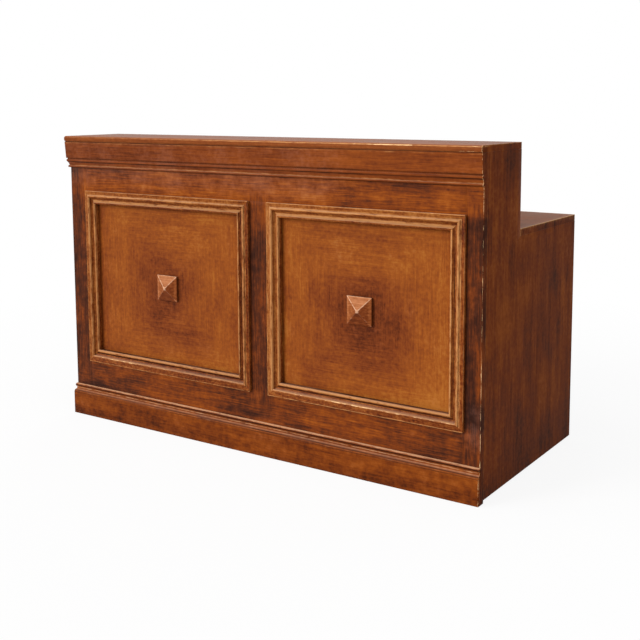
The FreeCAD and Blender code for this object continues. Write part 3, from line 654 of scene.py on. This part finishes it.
def panel(side):
    """A panel with clouds in its stain, painted shade in the corners and a painted shadow along its left
    moulding.
    """
    node = side + "_panel"
    low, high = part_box(node)
    boss_low, boss_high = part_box(side + "_boss")
    middle = (boss_low + boss_high) / 2
    half = (high - low) / 2
    left_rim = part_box(side + "_panel_moulding_left")[1].x

    def from_boss(points):
        """How far to the right of the boss and above it, with 1 at the panel's edges."""
        return (points[:, 0] - middle.x) / half.x, (points[:, 2] - middle.z) / half.z

    def tone(points):
        right, up = from_boss(points)
        out = np.abs(right)
        ring = 0.04 + 0.1 * fade(out, 0.35, 0.65)
        ring += 0.06 * fade(up, 0.55, 0.8) + 0.08 * fade(-up, 0.76, 0.84)
        # Painted shade in the corners and along the sides, next to the mouldings.
        rim = 0.15 * fade(out + np.abs(up), 1.4, 1.8) + 0.08 * fade(out, 0.8, 0.88)
        clouds = sum(depth * hill(right, x, wide) * hill(up, z, tall)
                     for x, z, wide, tall, depth in CLOUDS[side])
        return ring - rim + clouds

    def grime(points):
        # Painted shadow that the left moulding casts on the panel.
        return 0.4 * fade(points[:, 0], left_rim + 12 * MM, left_rim + 2 * MM)

    def cross(points):
        right, up = from_boss(points)
        return fade(np.abs(up) - np.abs(right), -0.2, 0.3)

    cuts = [("X", left_rim + place * MM) for place in (2, 7, 12)]
    board(node, "panel", 0.4, 20, cuts=cuts, tone=tone, grime=grime, cross=cross)


panel("left")
panel("right")

# %% [markdown]
# Panel mouldings
#
# A planted moulding has a flat outer band, a main ridge, a hollow and a small inner ridge. The ridges
# are rubbed to a golden tan, and the light from the left does the rest, helped by painted light: the
# rub reaches onto the slopes that face the light as painted highlight, the left outer bands get a
# painted highlight, and the hollows of the left and the upper lengths are painted lighter. Dirt and
# painted shade darken the hollows, and painted shade the inner side next to the panel. Whitish
# highlights on the bottom ridge are painted as chips. All of this follows the section, so each point's
# distance from the outer edge and its height above the panel are enough to place it. The outer bands
# carry painted light and shade: the left and the upper ones are light, the right and the lower ones
# dark.

# %% How worn each length is, and its painted light and shade
# Beech mouldings with a stain rubbed back: golden ridges, and pinkish dust and a painted sheen on
# what faces up.
gold = ("#42190a", "#703312", "#935222", "#b07236")
for axis, words in (("X", "level"), ("Z", "upright")):
    finish["moulding_" + axis] = stained_wood("rubbed_stain_beech_" + words, gold, axis, streak=1.6,
                                              cloud=0.6, mottle=1.2, streak_mm=(3.5, 60), spot_mm=9,
                                              bloom=0.5)
MOULDING_MM = 48
# How strong the wear is on each panel's lengths.
STRENGTH = {"left": 0.8, "right": 1.0}
# Heights above the panel, in mm, where each kind of wear and painted light starts and where it is full.
RISE = {"arris": (17, 20.5), "band": (18, 20), "band_tone": (17, 20), "ridge": (18, 21),
        "inner": (10, 13)}
# For each length: the painted light and shade on the outer band, the painted light in the hollow, and
# how much the arris is rubbed and how much painted highlight the outer band gets. Then the rub on the
# two ridges, which reaches as painted highlight onto the slopes that face the light, and the dirt and
# painted shade in the hollow, each with its start and end in mm from the outer edge, and the painted
# shade on the inner side.
WEAR = {
    "left": dict(band_tone=0.14, hollow_tone=0.2, arris=0.7, band=0.35, ridge=(0.8, 10, 29),
                 inner=(0.8, 36, 54), dirt=(0.0, 31, 41), side=0.0),
    "top": dict(band_tone=0.12, hollow_tone=0.1, arris=1.0, band=0.0, ridge=(0.85, 8, 22),
                inner=(1.0, 30, 44), dirt=(0.2, 44, 50), side=0.1),
    "right": dict(band_tone=-0.1, hollow_tone=0.0, arris=0.5, band=0.0, ridge=(0.65, 7, 26),
                  inner=(0.85, 39, 54), dirt=(0.55, 31, 40), side=0.1),
    "bottom": dict(band_tone=-0.08, hollow_tone=0.0, arris=1.0, band=0.0, ridge=(1.0, 18, 28),
                   inner=(1.0, 38, 54), dirt=(0.95, 31, 39), side=0.6),
}
print("rub on the main ridges:", {edge: wear["ridge"][0] for edge, wear in WEAR.items()})


# %% Mitred lengths round the panels
def moulding(side, edge):
    """One mitred length, with its wear and its painted light along the section."""
    node = f"{side}_panel_moulding_{edge}"
    low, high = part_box(node)
    outer = {"left": low.x, "right": high.x, "bottom": low.z, "top": high.z}[edge]
    inward = 1 if edge in ("left", "bottom") else -1
    axis = "X" if edge in ("left", "right") else "Z"
    wear = WEAR[edge]

    def section(points):
        """Millimetres inwards from the outer edge, and out from the panel."""
        return (points[:, "XYZ".index(axis)] - outer) * inward / MM, (high.y - points[:, 1]) / MM

    def inner_side(points):
        """1 low on the side that faces the boss."""
        inwards, height = section(points)
        return fade(inwards, MOULDING_MM - 1, MOULDING_MM) * fade(height, 16, 13)

    def on_ridge(points, part, ease):
        """Rub and painted highlight that come up over the first ease mm of a ridge and go down over its
        last 4 mm.
        """
        inwards, height = section(points)
        most, start, end = wear[part]
        across = fade(inwards, start, start + ease) * fade(inwards, end, end - 4)
        return most * across * fade(height, *RISE[part])

    def rub(points):
        inwards, height = section(points)
        arris = wear["arris"] * peak(inwards, 0, 4) * fade(height, *RISE["arris"])
        # Painted highlight on the outer band of the left lengths.
        band = wear["band"] * fade(height, *RISE["band"])
        inner = on_ridge(points, "inner", 5) * (1 - wear["side"] * inner_side(points))
        return STRENGTH[side] * np.maximum.reduce([arris, band, on_ridge(points, "ridge", 7), inner])

    def tone(points):
        inwards, height = section(points)
        # Painted light and shade on the outer band, as light falls on it.
        band = wear["band_tone"] * fade(inwards, 18, 8) * fade(height, *RISE["band_tone"])
        # Painted light in the hollow.
        hollow = wear["hollow_tone"] * peak(inwards, 28, 8)
        return band + hollow - 0.4 * (1 - STRENGTH[side])

    def grime(points):
        # Dirt and painted shade in the hollow, and painted shade on the inner side next to the panel.
        most, start, end = wear["dirt"]
        line = most * peak(section(points)[0], (start + end) / 2, (end - start) / 2)
        return np.maximum(line, wear["side"] * inner_side(points))

    def chip(points):
        inwards, height = section(points)
        zone = fade(points[:, 0], 0.3, 0.75) * fade(points[:, 2], 0.35, 0.7)
        arris = 0.62 * zone * peak(inwards, 0, 2.5) * fade(height, *RISE["arris"])
        # Whitish painted highlights along the bottom ridge, drawn as chips.
        crest = (0.6 + 0.3 * fade(points[:, 0], 0.64, 0.74)) * peak(inwards, 22, 4)
        return np.maximum(arris, crest) if edge == "bottom" else arris

    cuts = [(axis, outer + inward * place * MM) for place in range(2, MOULDING_MM, 2)]
    cuts += [("Y", high.y - place * MM) for place in (4, 8, 12, 16, 20)]
    board(node, "moulding_Z" if axis == "X" else "moulding_X", 0.8, cuts=cuts, rub=rub, tone=tone,
          grime=grime, chip=chip)


for side in ("left", "right"):
    for edge in ("left", "right", "bottom", "top"):
        moulding(side, edge)

# %% [markdown]
# Bosses
#
# A square block with a low pyramid sits in the middle of each panel. Its arrises and its tip are rubbed
# light. The slopes are shallow, so they are told apart by a smaller angle than the other corners. The
# upper slope is painted lightest, then the left one, and the right and the lower one dark, as painted
# light from the upper left. Painted shade darkens the sides of the block.

# %% Where a boss is rubbed, and where light and shade are painted on it
# Beech blocks with the same stain, sanded smoother, so that each slope is even.
amber = ("#451d0c", "#743717", "#96552c", "#b8764c")
finish["boss"] = stained_wood("sanded_stain_beech_boss", amber, "X", cloud=0.3, mottle=0.4,
                              bare="#e2b492", bloom=0.2)


def from_tip(points):
    """How far to the right of the tip and above it, with 1 at the block's sides."""
    low, high = points.min(axis=0), points.max(axis=0)
    share = (2 * points - low - high) / (high - low)
    return share[:, 0], share[:, 2]


def boss_tone(points):
    """Painted light: each slope is lighter or darker as the light from the upper left falls on it, and a
    strip at the left and the right is lighter.
    """
    right, up = from_tip(points)
    # Painted light on the slopes: lightest above, then left, dark to the right and below.
    slopes = ((0.34, up, right), (0.06, -right, up), (-0.16, right, up), (-0.22, -up, right))
    stain = sum(depth * fade(out - np.abs(beside), -0.1, 0.1) for depth, out, beside in slopes)
    return stain + 0.16 * fade(np.abs(right), 0.72, 0.84)


def boss_rub(points):
    """All four arrises are rubbed a little, and the tip most of all."""
    right, up = np.abs(from_tip(points))
    return np.maximum(0.4 * peak(right - up, 0, 0.08), 1.2 * peak(np.maximum(right, up), 0, 0.2))


def boss_grime(points):
    """Painted shade on the sides of the block, below the pyramid's rim."""
    out = np.abs(points[:, 0] - points[:, 0].mean())
    rim = points[out > out.max() - 0.2 * MM, 1].min()
    # Painted shade on the block's sides.
    return 0.6 * fade(points[:, 1], rim + MM, rim + 4 * MM)


# %% Pyramid blocks
SHALLOW = math.radians(12)


def upper_arrises(node):
    """The arrises in the upper half of a block are rubbed most."""
    low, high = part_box(node)
    return lambda middle: middle[2] > (low.z + high.z) / 2


for node in ("left_boss", "right_boss"):
    board(node, "boss", 0.4, 3, edge_rub=0.9, edge_mm=1.5, worn=upper_arrises(node), angle=SHALLOW,
          rub=boss_rub, tone=boss_tone, grime=boss_grime)

# %% [markdown]
# Cornice and plinth
#
# The frieze, the cornice under it, the plinth and its cap run along the front and turn round the left
# end. Their wear and their painted shade follow the height, because each bead, band and hollow lies at
# one level all along. Painted shade darkens the top of the frieze under the ledge, the joints, the
# cornice's quirk and cove, the plinth under its cap, and the cap's hollow and the lines between its
# beads. The frieze and the plinth are painted darker towards the left, as light that falls off there,
# and old wax with a painted sheen dulls the left of the frieze and the cornice. The plinth is darkest at
# the floor. The cap's ridges are pale, worn by shoes and the broom and with a painted sheen where they
# face up.

# %% Bands along a moulding
# Beech mouldings with a brushed stain: old wax and a painted sheen above, scuffs and a painted sheen
# below.
brown = ("#431d0e", "#703414", "#8b4517", "#a15825")
tawny = ("#3c190a", "#672e0d", "#823f10", "#99521c")
for axis, words in (("X", "front"), ("Y", "return")):
    finish["cornice_" + axis] = stained_wood("brush_stained_beech_cornice_" + words, brown, axis,
                                             mottle=0.4)
    finish["plinth_" + axis] = stained_wood("scuffed_stain_beech_plinth_" + words, tawny, axis,
                                            streak=0.7, cloud=1.0, mottle=1.0, spot_mm=20,
                                            bare="#c8946c", rubbing=0.85)


def bands(*rows):
    """A rule for bands along a moulding. Each row has a band's height, its reach and its amount."""
    def rule(height, x):
        return np.maximum.reduce([most * peak(height, middle, reach) for middle, reach, most in rows])
    return rule


def old_wax(height, x):
    """Old wax and a painted sheen dull the left and the middle."""
    return 0.3 * fade(x, 0.5, 0.2)


# %% Runs of moulding along the front and the left end
def run(name, look, heights, **rules):
    """The front and the left return of a moulding. Heights are in millimetres from its lower edge."""
    for place, axis in (("front", "X"), ("return_left", "Y")):
        node = f"{name}_{place}"
        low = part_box(node)[0].z
        wear = {key: lambda points, rule=rule: rule((points[:, 2] - low) / MM, points[:, 0])
                for key, rule in rules.items()}
        cuts = [("Z", low + height * MM) for height in heights]
        board(node, f"{look}_{axis}", 0.8, 60, cuts=cuts, chip=flush_corner, **wear)


# The frieze: a worn edge at its top, painted shade under the ledge's nose and at the joint with the
# cornice, and painted darker towards the left as light that falls off there.
run("frieze", "cornice", (4, 20, 40, 54, 56, 58, 59.5), rub=bands((57, 3, 0.5)),
    grime=bands((61, 3, 0.5), (0, 4, 0.4)),
    tone=lambda height, x: 0.15 * fade(x, -0.8, 0.4) - 0.16, film=old_wax)
# The cornice: a rubbed bead, and painted shade in the quirk, in the cove and along its lower edge.
run("cornice", "cornice", (2, 4, 8, 11, 14, 17, 21, 26, 30), rub=bands((8, 5, 0.5)),
    grime=bands((33, 4, 0.5), (21, 5, 0.6), (0, 4, 0.6)),
    tone=lambda height, x: -0.05, film=old_wax)
# The plinth: darker at the floor, painted shade under the cap, and painted darker towards the left as
# light that falls off there.
run("plinth", "plinth", (4, 12, 30, 55, 79), grime=bands((0, 12, 0.35), (83, 3, 0.5)),
    tone=lambda height, x: 0.14 * fade(x, -0.8, 0.0) - 0.05 - 0.22 * fade(height, 70, 5))
# The cap: its rub is wear and a painted sheen on what faces up, and its darkening is painted shade under
# the top bead, in a line lower down and against the plinth.
run("plinth_cap", "plinth", range(1, 34, 2),
    rub=bands((34, 5.5, 1.2), (18, 4, 0.7), (11, 3, 0.4), (3, 3, 0.3)),
    grime=bands((26, 4, 0.9), (7, 3, 0.6), (0, 2, 0.5)),
    tone=lambda height, x: 0.05)

# %% [markdown]
# Tops and riser
#
# The ledge and the worktop are wiped every day, so they have more sheen than the front. Hands and
# glasses have rubbed the ledge's rounded front edge light, most of all towards the right, where people
# stand. The riser between the two tops is on the staff's side and is plain.

# %% Finish of the tops and the riser
# Beech with a stain and a varnish that is wiped often: brown with long streaks and a soft sheen.
wiped = ("#4c2512", "#763b1b", "#8c4b23", "#a05d30")
finish["bar_top"] = stained_wood("varnished_beech_bar_top", wiped, "X", bloom=0.17, shine=0.02,
                                 rough=0.4)
finish["worktop"] = stained_wood("dull_varnished_beech_worktop", wiped, "X", bare="#dcb48e",
                                 rubbing=1.0, bloom=0.2, shine=0.02, rough=0.5)
finish["riser"] = stained_wood("plain_stained_beech_riser", ("#3a180a", "#6c3210", "#8c4c1c"), "X")

# %% Wide boards on top
nose_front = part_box("bar_top")[0].y
nose_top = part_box("bar_top")[1].z


def upper_corner(node):
    """Only the corners in the upper 12 mm of a top are rubbed."""
    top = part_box(node)[1].z
    return lambda middle: middle[2] > top - 12 * MM


def nose_rub(points):
    """Rubbed along the upper part of the rounded nose, and a little along its lower edge."""
    x, y, z = points.T
    upper = peak(z, nose_top - 4 * MM, 3 * MM) * (0.45 + 0.5 * fade(x, -0.6, 0.5))
    lower = 0.4 * peak(z, nose_top - 20 * MM, 3 * MM)
    return fade(y, nose_front + 12 * MM, nose_front + 6 * MM) * np.maximum(upper, lower)


def top_tone(end_depth):
    """The upper side of a top is darker than its nose, and its right end has a tone of its own."""
    def rule(points):
        x, y, z = points.T
        upper = fade(z, z.max() - 2 * MM, z.max() - 0.5 * MM)
        upper *= fade(y, y.min() + 8 * MM, y.min() + 20 * MM)
        return -0.28 * upper + end_depth * fade(x, right_edge - 2 * MM, right_edge - 0.5 * MM)
    return rule


def nose_corner(points):
    """Chips at the right corner of the nose, along its lower edge there and on its crown."""
    x, y, z = points.T
    lower = 0.85 * fade(x, right_edge - 0.14, right_edge - 0.03) * peak(z, nose_top - 18 * MM, 5 * MM)
    crown = 0.67 * fade(x, 0.0, 0.5) * peak(z, nose_top - 4 * MM, 4 * MM)
    on_edges = np.maximum(lower, crown) * before_end(x)
    on_nose = fade(y, nose_front + 14 * MM, nose_front + 6 * MM)
    return on_nose * np.maximum(1.3 * flush_corner(points), on_edges)


nose_cuts = [("Z", nose_top - place * MM) for place in (2, 4, 6, 18)]
board("bar_top", "bar_top", 1.0, 60, edge_rub=0.6, worn=upper_corner("bar_top"), cuts=nose_cuts,
      rub=nose_rub, tone=top_tone(-0.02), chip=nose_corner)
board("worktop", "worktop", 1.0, 60, edge_rub=0.9, worn=upper_corner("worktop"), tone=top_tone(-0.2))
board("riser_panel", "riser", 0.8, 120, edge_rub=0.5)

# %% [markdown]
# Inside
#
# Shelves, divider, rails, cleats and blocks only have a plain coat of the same stain, so they get a
# plain finish with the grain along each board.

# %% Boards of the carcass
# Pine with one coat of stain and no varnish: a dull, even brown.
plain = ("#4c2714", "#703e20", "#89522d")
grain = {
    "X": ["bottom_board", "rear_kick_rail", "rear_rail", "left_shelf", "right_shelf", "front_bearer"],
    "Y": ["left_bearer", "right_bearer", "left_shelf_cleat_outer", "left_shelf_cleat_inner",
          "right_shelf_cleat_outer", "right_shelf_cleat_inner"],
    "Z": ["centre_divider", "corner_blocks", "left_foot_block", "centre_foot_block",
          "right_foot_block"],
}
for axis, nodes in grain.items():
    finish["inside_" + axis] = stained_wood("one_coat_stained_pine_" + axis, plain, axis, bloom=0.1,
                                            rough=0.6)
    for node in nodes:
        board(node, "inside_" + axis, cell_mm=60, edge_rub=0.6)

# %% [markdown]
# Screws and feet
#
# Screws, inserts and feet are zinc plated steel. Their shapes are already right, so the joiner's pieces
# stay and only get the metal: pale grey, a little blue, with a cloudy bloom.

# %% Zinc plated steel
# Plating dulls in patches a few millimetres wide, so some of it mirrors and some of it only shines.
PATINA_MM = 6
zinc = empty_material("zinc_plated_steel")
tree = zinc.node_tree
place = add(tree, "ShaderNodeTexCoord", out="Object")
patina = add(tree, "ShaderNodeTexNoise", {"Vector": place, "Scale": 1 / (PATINA_MM * MM), "Detail": 4.0})
tints = {0: patina, 6: linear("#8f9294"), 7: linear("#c3c5c6")}
plating = add(tree, "ShaderNodeMix", tints, out=2, data_type="RGBA")
dullness = weighed(tree, 0.38, (patina, 0.25, 0.5))
surface = {"Base Color": plating, "Metallic": 1.0, "Roughness": dullness}
metal = add(tree, "ShaderNodeBsdfPrincipled", surface)
add(tree, "ShaderNodeOutputMaterial", {"Surface": metal})
metal_pieces = ["cleat_screws", "foot_inserts"]
metal_pieces += [side + "_levelling_foot" for side in ("left", "centre", "right")]
for node in metal_pieces:
    for material_slot in frame["nodes"][node].material_slots:
        material_slot.material = zinc
print("metal pieces:", len(metal_pieces))
